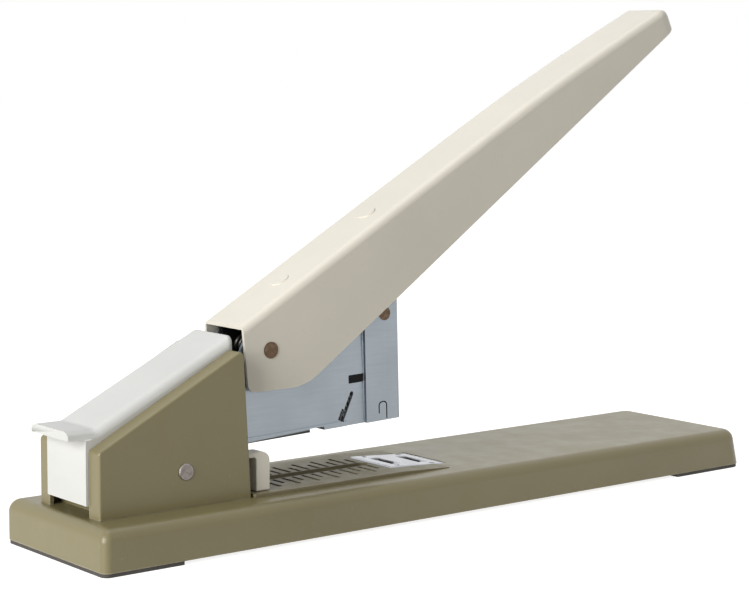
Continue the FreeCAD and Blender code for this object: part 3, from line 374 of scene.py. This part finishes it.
# for each slot of the frame: the material's name, how it is made and with which values
finishes = {
    "base_paint": ("basePaint", enamelFinish, basePaint),
    "handle_paint": ("handlePaint", enamelFinish, handlePaint),
    "scale_plate": ("scalePaint", enamelFinish, scalePaint),
    "magazine_steel": ("magazineSteel", steelFinish, magazineSteel),
    "zinc_steel": ("zincSteel", steelFinish, zincSteel),
    "bright_steel": ("brightSteel", steelFinish, brightSteel),
    "spring_steel": ("springSteel", steelFinish, springSteel),
    "dark_steel": ("darkSteel", steelFinish, darkSteel),
    "staple_wire": ("stapleWire", steelFinish, stapleWire),
    "chrome_anvil": ("anvilChrome", steelFinish, anvilChrome),
    "cover_plastic": ("coverPlastic", plasticFinish, coverPlastic),
    "guide_plastic": ("guidePlastic", plasticFinish, guidePlastic),
    "pad_plastic": ("padRubber", plasticFinish, padRubber),
    "black_rubber": ("blackRubber", plasticFinish, blackPlastic),
    "black_plastic": ("blackPlastic", plasticFinish, blackPlastic),
}
materials = {slot: make(name, values) for slot, (name, make, values) in finishes.items()}

for part in frame["record"]["subparts"]:
    mesh = frame["nodes"][part["node"]].data
    mesh.materials.clear()
    mesh.materials.append(materials[part["material_slot"]])
# the lever in the handle and the tray under the anvil get a near-black colour as painted shade
paintedShadeFinish = steelFinish("paintedShadeSteel", paintedShadeSteel)
for nodeName in ("handle_lever", "anvil_tray"):
    frame["nodes"][nodeName].data.materials[0] = paintedShadeFinish
print("stapler:", len(materials) + 1, "finishes on the frame")


# points closer than these are one point, in a new mesh and in a copied node; creases are in degrees
meshValues = {"sameSpot": 1e-7, "nodeSameSpot": 1e-6, "crease": 35, "nodeCrease": 30}


# a mesh's points as rows of x, y and z
def meshPoints(mesh):
    points = np.empty(len(mesh.vertices) * 3)
    mesh.vertices.foreach_get("co", points)
    return points.reshape(-1, 3)


def nodePoints(nodeName):
    return meshPoints(frame["nodes"][nodeName].data)


# quads between neighbouring points of a (rows, columns, 3) grid; closed columns join the last
# column to the first, and caps fill the first and the last row
def gridFaces(points, closeColumns=False, capRows=False):
    rows, columns = points.shape[:2]
    index = np.arange(rows * columns).reshape(rows, columns)
    wrapped = np.hstack([index, index[:, :1]]) if closeColumns else index
    corners = [wrapped[:-1, :-1], wrapped[:-1, 1:], wrapped[1:, 1:], wrapped[1:, :-1]]
    faces = np.stack(corners, axis=-1).reshape(-1, 4).tolist()
    if capRows:
        faces += [index[0].tolist(), index[-1].tolist()]
    return points.reshape(-1, 3), faces


# merges points that lie together, and turns the faces outward when asked
def mergePoints(mesh, distance, faceOutward=False):
    shaped = bmesh.new()
    shaped.from_mesh(mesh)
    bmesh.ops.remove_doubles(shaped, verts=shaped.verts, dist=distance)
    if faceOutward:
        bmesh.ops.recalc_face_normals(shaped, faces=shaped.faces)
    shaped.to_mesh(mesh)
    shaped.free()


# closes seams and poles, faces outward, shades smooth up to the crease angle, puts the finish on
def finishMesh(mesh, slot, creaseAngle):
    mergePoints(mesh, meshValues["sameSpot"], faceOutward=True)
    mesh.polygons.foreach_set("use_smooth", [True] * len(mesh.polygons))
    mesh.set_sharp_from_angle(angle=math.radians(creaseAngle))
    mesh.materials.clear()
    mesh.materials.append(materials[slot])


def addObject(name, data):
    added = bpy.data.objects.new(name, data)
    bpy.context.collection.objects.link(added)
    return added


# joins grids into one mesh with its finish, as a piece that has its slot but rides on nothing yet
def slotPiece(name, grids, slot, creaseAngle=meshValues["crease"]):
    vertices, faces, count = [], [], 0
    for points, quads in grids:
        vertices.append(points)
        faces += [[corner + count for corner in face] for face in quads]
        count += len(points)
    mesh = bpy.data.meshes.new(name)
    mesh.from_pydata(np.vstack(vertices).tolist(), [], faces)
    finishMesh(mesh, slot, creaseAngle)
    piece = addObject(name, mesh)
    return piece


# the same, riding on a body and standing for a CAD node
def makePiece(name, grids, body, slot, nodeName, creaseAngle=meshValues["crease"]):
    piece = slotPiece(name, grids, slot, creaseAngle)
    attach(piece, body)
    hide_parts(nodeName)
    return piece


magazineValues = {"restTilt": 2.0}
pinLow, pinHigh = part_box("tower_pivot_pin")
pivotX, pivotZ = (pinLow[0] + pinHigh[0]) / 2, (pinLow[2] + pinHigh[2]) / 2


# turns points by the rest tilt about the tower's pivot, from along, across and up in the level
# magazine to its raised place: x is pivot + along cos - up sin, z is pivot + along sin + up cos
def raiseMagazine(points):
    tilt = math.radians(magazineValues["restTilt"])
    along, across, up = points[..., 0], points[..., 1], points[..., 2]
    x = pivotX + along * math.cos(tilt) - up * math.sin(tilt)
    z = pivotZ + along * math.sin(tilt) + up * math.cos(tilt)
    return np.stack([x, across, z], axis=-1)


# and back, with the opposite turn
def levelMagazine(points):
    tilt = math.radians(magazineValues["restTilt"])
    x, across, z = points[..., 0] - pivotX, points[..., 1], points[..., 2] - pivotZ
    along = x * math.cos(tilt) + z * math.sin(tilt)
    up = z * math.cos(tilt) - x * math.sin(tilt)
    return np.stack([along, across, up], axis=-1)


coilValues = {"stepsPerTurn": 40, "wireSides": 12}


# a round wire carried along a helix about y: its centre line goes round at the radius and climbs
# evenly from end to end; each ring of the wire leans with the climb, and flat discs close the ends
def coilGrid(centre, radius, wire, turns, low, high):
    steps = int(turns * coilValues["stepsPerTurn"]) + 1
    turn = np.linspace(0.0, turns * 2 * math.pi, steps)[:, None]
    around = np.linspace(0.0, 2 * math.pi, coilValues["wireSides"], endpoint=False)[None, :]
    climb = high - low - 2 * wire
    rise = low + wire + climb * turn / turn[-1]
    pitch = climb / (turns * 2 * math.pi * radius)
    reach = radius + wire * np.cos(around)
    x = centre[0] + reach * np.cos(turn) + wire * np.sin(around) * pitch * np.sin(turn)
    z = centre[1] + reach * np.sin(turn) - wire * np.sin(around) * pitch * np.cos(turn)
    y = rise + wire * np.sin(around) * np.ones_like(turn)
    return gridFaces(np.stack([x, y, z], axis=-1), closeColumns=True, capRows=True)


# a coil that fills the box of the points given, with its axis along y
def coilInBox(points, values):
    low, high = points.min(axis=0), points.max(axis=0)
    centre = ((low[0] + high[0]) / 2, (low[2] + high[2]) / 2)
    radius = (high[0] - low[0]) / 2 - values["wire"]
    return coilGrid(centre, radius, values["wire"], values["turns"], low[1], high[1])


tiltSpringValues = {"wire": 0.0006, "turns": 3.25}


# one coil and its mirror image across the middle plane
def makeTiltSprings(values):
    points = nodePoints("tilt_springs")
    coil, faces = coilInBox(points[points[:, 1] > 0], values)
    grids = [(coil, faces), (coil * (1, -1, 1), faces)]
    makePiece("tiltSprings", grids, "base", "spring_steel", "tilt_springs")


makeTiltSprings(tiltSpringValues)

handleSpringValues = {"wire": 0.00065, "turns": 4}


# one coil over the handle's pin
def makeHandleSpring(values):
    grid = coilInBox(nodePoints("handle_spring"), values)
    makePiece("handleSpring", [grid], "handle", "spring_steel", "handle_spring")


makeHandleSpring(handleSpringValues)

pusherSpringValues = {"wire": 0.00045, "turns": 9}


# a coil made along y and laid along the magazine, between the drawer and the pusher
def makePusherSpring(values):
    level = levelMagazine(nodePoints("pusher_spring"))
    low, high = level.min(axis=0), level.max(axis=0)
    axisHeight = (low[2] + high[2]) / 2
    radius = (high[1] - low[1]) / 2 - values["wire"]
    coil, faces = coilGrid((0, 0), radius, values["wire"], values["turns"], low[0], high[0])
    laid = raiseMagazine(np.stack([coil[:, 1], coil[:, 0], coil[:, 2] + axisHeight], axis=-1))
    spring = slotPiece("pusherSpring", [(laid, faces)], "spring_steel")
    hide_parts("pusher_spring")
    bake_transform(spring)


makePusherSpring(pusherSpringValues)
print("stapler: round wire springs")

# corner is where a wire's flat side starts to round off, as a share of half its thickness
stapleValues = {"wire": 0.0007, "gap": 0.00005, "bend": 0.0009, "bendSteps": 5, "corner": 0.72}


# one staple is a path up a leg, round a bend, over the crown, round a bend and down again, carried
# by a rounded square; the strip repeats it along the rail at the wire's own pitch
def makeStaples(values):
    level = levelMagazine(nodePoints("staple_strip"))
    low, high = level.min(axis=0), level.max(axis=0)
    half, bend, corner = values["wire"] / 2, values["bend"], values["corner"]
    foot, side, top = low[2], high[1] - half, high[2] - half
    arc = np.linspace(0.0, math.pi / 2, values["bendSteps"])
    soft, steep = bend * (1 - np.cos(arc)), bend * (1 - np.sin(arc))
    across = np.concatenate([[-side], -side + soft, side - steep, [side]])
    up = np.concatenate([[foot], top - steep, top - soft, [foot]])
    path = np.stack([across, up], axis=-1)
    heading = np.gradient(path, axis=0)
    heading /= np.linalg.norm(heading, axis=1, keepdims=True)
    outward = np.stack([-heading[:, 1], heading[:, 0]], axis=-1)
    along = np.array([-1, -corner, corner, 1, 1, corner, -corner, -1]) * half
    away = np.array([-corner, -1, -1, -corner, corner, 1, 1, corner]) * half
    ring = np.empty((len(path), len(along), 3))
    ring[..., 0] = high[0] - half + along[None, :]
    ring[..., 1:] = path[:, None, :] + outward[:, None, :] * away[None, :, None]
    pitch = values["wire"] + values["gap"]
    grids = []
    for place in range(int((high[0] - low[0]) / pitch)):
        staple = raiseMagazine(ring - (place * pitch, 0, 0))
        grids.append(gridFaces(staple, closeColumns=True, capRows=True))
    makePiece("stapleStrip", grids, "magazine", "staple_wire", "staple_strip")


makeStaples(stapleValues)
print("stapler: staple strip")

# cadSlope is the top slope of the node that it stands for; the dark values say where the painted
# dark reflection starts
anvilValues = {
    "length": 0.0245, "width": 0.0217, "shift": 0.0001, "slope": 3.8, "cadSlope": 2.6,
    "chamfer": 0.0003, "rowsAlong": 207, "rowsAcross": 181, "crease": 50,
    "troughSpacing": 0.0122, "troughLength": 0.0136, "troughWidth": 0.0046,
    "troughDepth": 0.0013, "troughWall": 0.0004,
    "rivetRadius": 0.00112, "rivetSink": 0.0005, "rivetRim": 0.00015,
    "darkDepth": 0.2, "darkStart": 0.3, "darkFrom": 0.22, "darkFade": 0.001,
}


# middles of a node's four round shanks, from its points sorted into the quarters of its box
def shankMiddles(nodeName):
    points = nodePoints(nodeName)
    middle = (points.min(axis=0) + points.max(axis=0)) / 2
    right, far = points[:, 0] > middle[0], points[:, 1] > middle[1]
    middles = []
    for quarter in (~right & ~far, ~right & far, right & ~far, right & far):
        shank = points[quarter]
        middles.append((shank.min(axis=0) + shank.max(axis=0)) / 2)
    return middles


# depth of the two troughs over the plan: each floor is an arc of a circle along y, and falls away
# along x through smooth walls
def troughDepth(x, y, values):
    half, deep = values["troughLength"] / 2, values["troughDepth"]
    radius = half ** 2 / (2 * deep) + deep / 2
    floor = np.sqrt(radius ** 2 - np.minimum(np.abs(y), half) ** 2) - (radius - deep)
    depth = np.zeros((x.size, y.size))
    for side in (-1, 1):
        away = np.abs(x - side * values["troughSpacing"] / 2)
        wall = np.clip((values["troughWidth"] / 2 - away) / values["troughWall"], 0.0, 1.0)
        depth = np.maximum(depth, np.maximum(floor, 0.0) * wall * wall * (3 - 2 * wall))
    return depth


# 1 in a round hole over each rivet, and falling to 0 over its narrow rim
def rivetHoles(x, y, values):
    holes = np.zeros((x.size, y.size))
    for middle in shankMiddles("anvil_rivets"):
        distance = np.hypot(x - middle[0], y - middle[1])
        hole = np.clip((values["rivetRadius"] - distance) / values["rivetRim"], 0, 1)
        holes = np.maximum(holes, hole)
    return holes


# 1 where the anvil is painted dark: painted shade in the holes, and a painted dark reflection on
#                                    the trough floors from a little before their middles on
def anvilShadeAndReflection(y, sink, holes, values):
    deep = np.clip(sink / values["troughDepth"] / values["darkDepth"] - values["darkStart"], 0, 1)
    far = (y + values["troughLength"] * values["darkFrom"]) / values["darkFade"]
    return np.maximum(deep * np.clip(far, 0, 1), holes)


# a grid with its outer points repeated all round, and which of its points are the new ones
def addRim(grid):
    wider = np.pad(grid, ((1, 1), (1, 1), (0, 0)), mode="edge")
    rim = np.ones(wider.shape[:2], bool)
    rim[1:-1, 1:-1] = False
    return wider, rim


# height over the plan: a sloped plane, less the troughs and the rivets' holes; the plan is drawn in
# by the chamfer, a rim goes out and down by it, and the walls drop from there to the node's foot
def makeAnvil(values):
    low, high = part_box("anvil_block")
    centre = (low[0] + high[0]) / 2 + values["shift"]
    height = high[2] - math.tan(math.radians(values["cadSlope"])) * (high[0] - low[0]) / 2
    x = np.linspace(-values["length"] / 2, values["length"] / 2, values["rowsAlong"])[:, None]
    y = np.linspace(-values["width"] / 2, values["width"] / 2, values["rowsAcross"])[None, :]
    holes = rivetHoles(x + centre, y, values)
    sink = np.maximum(troughDepth(x, y, values), values["rivetSink"] * holes)
    dark = anvilShadeAndReflection(y, sink, holes, values)
    top = height - math.tan(math.radians(values["slope"])) * x - sink
    inset = 1 - 2 * values["chamfer"] / values["length"]
    grid, rim = addRim(np.stack([centre + x * inset + 0 * y, y * inset + 0 * x, top], axis=-1))
    grid[rim, 0] = centre + (grid[rim, 0] - centre) / inset
    grid[rim, 1] /= inset
    grid[rim, 2] -= values["chamfer"]
    skirt, rim = addRim(grid)
    skirt[rim, 2] = low[2]
    points, faces = gridFaces(skirt)
    index = np.arange(len(points)).reshape(skirt.shape[:2])
    foot = [index[0, :-1], index[:-1, -1], index[-1, :0:-1], index[:0:-1, 0]]
    faces.append(np.concatenate(foot).tolist())
    anvil = makePiece("anvilBlock", [(points, faces)], "base", "chrome_anvil", "anvil_block",
                      values["crease"])
    merged = meshPoints(anvil.data)
    row = np.abs(x - (merged[:, 0] - centre) / inset).argmin(axis=0)
    column = np.abs(y.T - merged[:, 1] / inset).argmin(axis=0)
    shadeAndReflection = anvil.data.attributes.new("shadeAndReflection", "FLOAT", "POINT")
    shadeAndReflection.data.foreach_set("value", dark[row, column].astype(np.float32))


makeAnvil(anvilValues)
print("stapler: anvil with its two troughs")


# a copy of a node's mesh, merged, with its points passed through change, that stands for the node
def movedCopy(nodeName, name, body, slot, change, values):
    mesh = frame["nodes"][nodeName].data.copy()
    mesh.name = name
    mergePoints(mesh, meshValues["nodeSameSpot"])
    moved = change(meshPoints(mesh), values)
    mesh.vertices.foreach_set("co", moved.reshape(-1))
    mesh.update()
    finishMesh(mesh, slot, meshValues["nodeCrease"])
    piece = addObject(name, mesh)
    weighted = piece.modifiers.new("weighted", "WEIGHTED_NORMAL")
    weighted.keep_sharp = True
    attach(piece, body)
    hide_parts(nodeName)


# legDepth is from the guide's front end back to the leg's rear face; cornerReach and slack take in
# that face with its rounded corners
guideValues = {"legShift": 0.00095, "legDepth": 0.0041, "cornerReach": 0.0013, "slack": 0.0001}


# moves the rear face of the guide's front leg back, so that the leg gets thicker
def widenLeg(points, values):
    legRear = points[:, 0].max() - values["legDepth"]
    behind, before = legRear - values["cornerReach"], legRear + values["slack"]
    near = (points[:, 0] > behind) & (points[:, 0] < before)
    points[near, 0] -= values["legShift"]
    return points


movedCopy("paper_guide", "paperGuide", "guide", "guide_plastic", widenLeg, guideValues)

lipValues = {"gapFrom": 0.0463, "gapTo": 0.0536, "gapShift": 0.0074, "gapBelow": 0.0050}


# moves the notch in the magazine's bottom lip forward
def moveLipGap(points, values):
    level = levelMagazine(points)
    within = (level[:, 0] > values["gapFrom"]) & (level[:, 0] < values["gapTo"])
    level[within & (level[:, 2] < values["gapBelow"]), 0] += values["gapShift"]
    return raiseMagazine(level)


movedCopy("magazine_channel", "magazineChannel", "magazine", "magazine_steel",
          moveLipGap, lipValues)
print("stapler: guide and magazine")

coverValues = {
    "lipRoot": -0.0313, "lipStart": 0.0002, "lipReach": 0.0048,
    "lipTop": 0.01603, "lipMiddle": 0.0010, "lipDrop": 0.0009,
}


# lowers the thumb lip's underside, in proportion to how far out it is, so that the lip ends in a
# thick upright face
def thickenLip(points, values):
    level = levelMagazine(points)
    outward = values["lipRoot"] - level[:, 0]
    topLine = values["lipTop"] + outward * math.tan(math.radians(magazineValues["restTilt"]))
    under = (outward > values["lipStart"]) & (level[:, 2] < topLine - values["lipMiddle"])
    drop = values["lipDrop"] * np.clip(outward / values["lipReach"], 0, 1)
    level[:, 2] -= np.where(under, drop, 0.0)
    return raiseMagazine(level)


movedCopy("rear_cover", "rearCover", "drawer", "cover_plastic", thickenLip, coverValues)
print("stapler: drawer cover")


# 1 for what the camera, mirrors and glass see, 0 for light on the object
def seenDirectly(tree):
    path = addNode(tree, "ShaderNodeLightPath").outputs
    seen = combine(tree, "MAXIMUM", path["Is Camera Ray"], path["Is Glossy Ray"])
    return combine(tree, "MAXIMUM", seen, path["Is Transmission Ray"])


floorValues = {"size": 12.0, "colour": (0.62, 0.60, 0.55), "glow": 0.85}


# plain diffuse that takes the shadow, with a glow that gives no light to the object
def floorMaterial(values):
    material = bpy.data.materials.new("floorFinish")
    material.use_nodes = True
    tree = material.node_tree
    tree.nodes.remove(tree.nodes["Principled BSDF"])
    plain = addNode(tree, "ShaderNodeBsdfDiffuse", {"Color": rgba(values["colour"])}).outputs[0]
    glow = combine(tree, "MULTIPLY", seenDirectly(tree), values["glow"])
    white = {"Color": (1, 1, 1, 1), "Strength": glow}
    white = addNode(tree, "ShaderNodeEmission", white).outputs[0]
    both = addNode(tree, "ShaderNodeAddShader", {0: plain, 1: white}).outputs[0]
    tree.links.new(both, tree.nodes["Material Output"].inputs["Surface"])
    return material


# a square at height 0
def makeFloor(values):
    half = values["size"] / 2
    mesh = bpy.data.meshes.new("floor")
    corners = [(-half, -half, 0), (half, -half, 0), (half, half, 0), (-half, half, 0)]
    mesh.from_pydata(corners, [], [(0, 1, 2, 3)])
    mesh.materials.append(floorMaterial(values))
    addObject("floor", mesh)


makeFloor(floorValues)

worldValues = {"strength": 0.27, "seenStrength": 1.0}


# even white light, dim on the object and full where the camera, mirrors and glass see the world
def makeWorld(values):
    world = bpy.data.worlds.new("studio")
    world.use_nodes = True
    tree = world.node_tree
    seen = seenDirectly(tree)
    strength = spread(tree, seen, 0.0, 1.0, values["strength"], values["seenStrength"])
    background = tree.nodes["Background"]
    background.inputs["Color"].default_value = (1, 1, 1, 1)
    tree.links.new(strength, background.inputs["Strength"])
    bpy.context.scene.world = world


makeWorld(worldValues)

# soft square lamps that look at one spot on the stapler
lampAim = (0.0, 0.0, 0.06)
lampValues = {
    "key": {"power": 67.0, "size": 1.6, "place": (-2.4, -0.55, 0.80)},
    "top": {"power": 12.5, "size": 2.0, "place": (0.3, 0.3, 2.4)},
}


def makeLamp(name, values):
    light = bpy.data.lights.new(name, "AREA")
    light.energy = values["power"]
    light.size = values["size"]
    lamp = addObject(name, light)
    lamp.location = values["place"]
    looking = Vector(lampAim) - Vector(values["place"])
    lamp.rotation_euler = looking.to_track_quat("-Z", "Y").to_euler()


for lampName in lampValues:
    makeLamp(lampName, lampValues[lampName])

cameraValues = {
    "place": (-0.44124, -0.52762, 0.14926), "azimuth": 38.891, "elevation": 6.462, "roll": 0.339,
    "lens": 97.18, "sensorWidth": 36.0, "clipStart": 0.01,
}


# looks forward along azimuth and down by elevation, then rolls right and up about that line
def makeCamera(values):
    azimuth, elevation = math.radians(values["azimuth"]), math.radians(values["elevation"])
    roll = math.radians(values["roll"])
    level = Vector((math.sin(azimuth), math.cos(azimuth), 0))
    forward = level * math.cos(elevation) - Vector((0, 0, math.sin(elevation)))
    right = Vector((math.cos(azimuth), -math.sin(azimuth), 0))
    upward = right.cross(forward)
    turnedRight = right * math.cos(roll) + upward * math.sin(roll)
    turnedUp = upward * math.cos(roll) - right * math.sin(roll)
    turn = Matrix((turnedRight, turnedUp, -forward)).transposed().to_4x4()
    data = bpy.data.cameras.new("camera")
    data.lens = values["lens"]
    data.sensor_width = values["sensorWidth"]
    data.clip_start = values["clipStart"]
    camera = addObject("camera", data)
    camera.matrix_world = Matrix.Translation(values["place"]) @ turn
    bpy.context.scene.camera = camera


makeCamera(cameraValues)
bpy.context.scene.view_settings.view_transform = "Standard"
print("stapler: floor, light and camera")
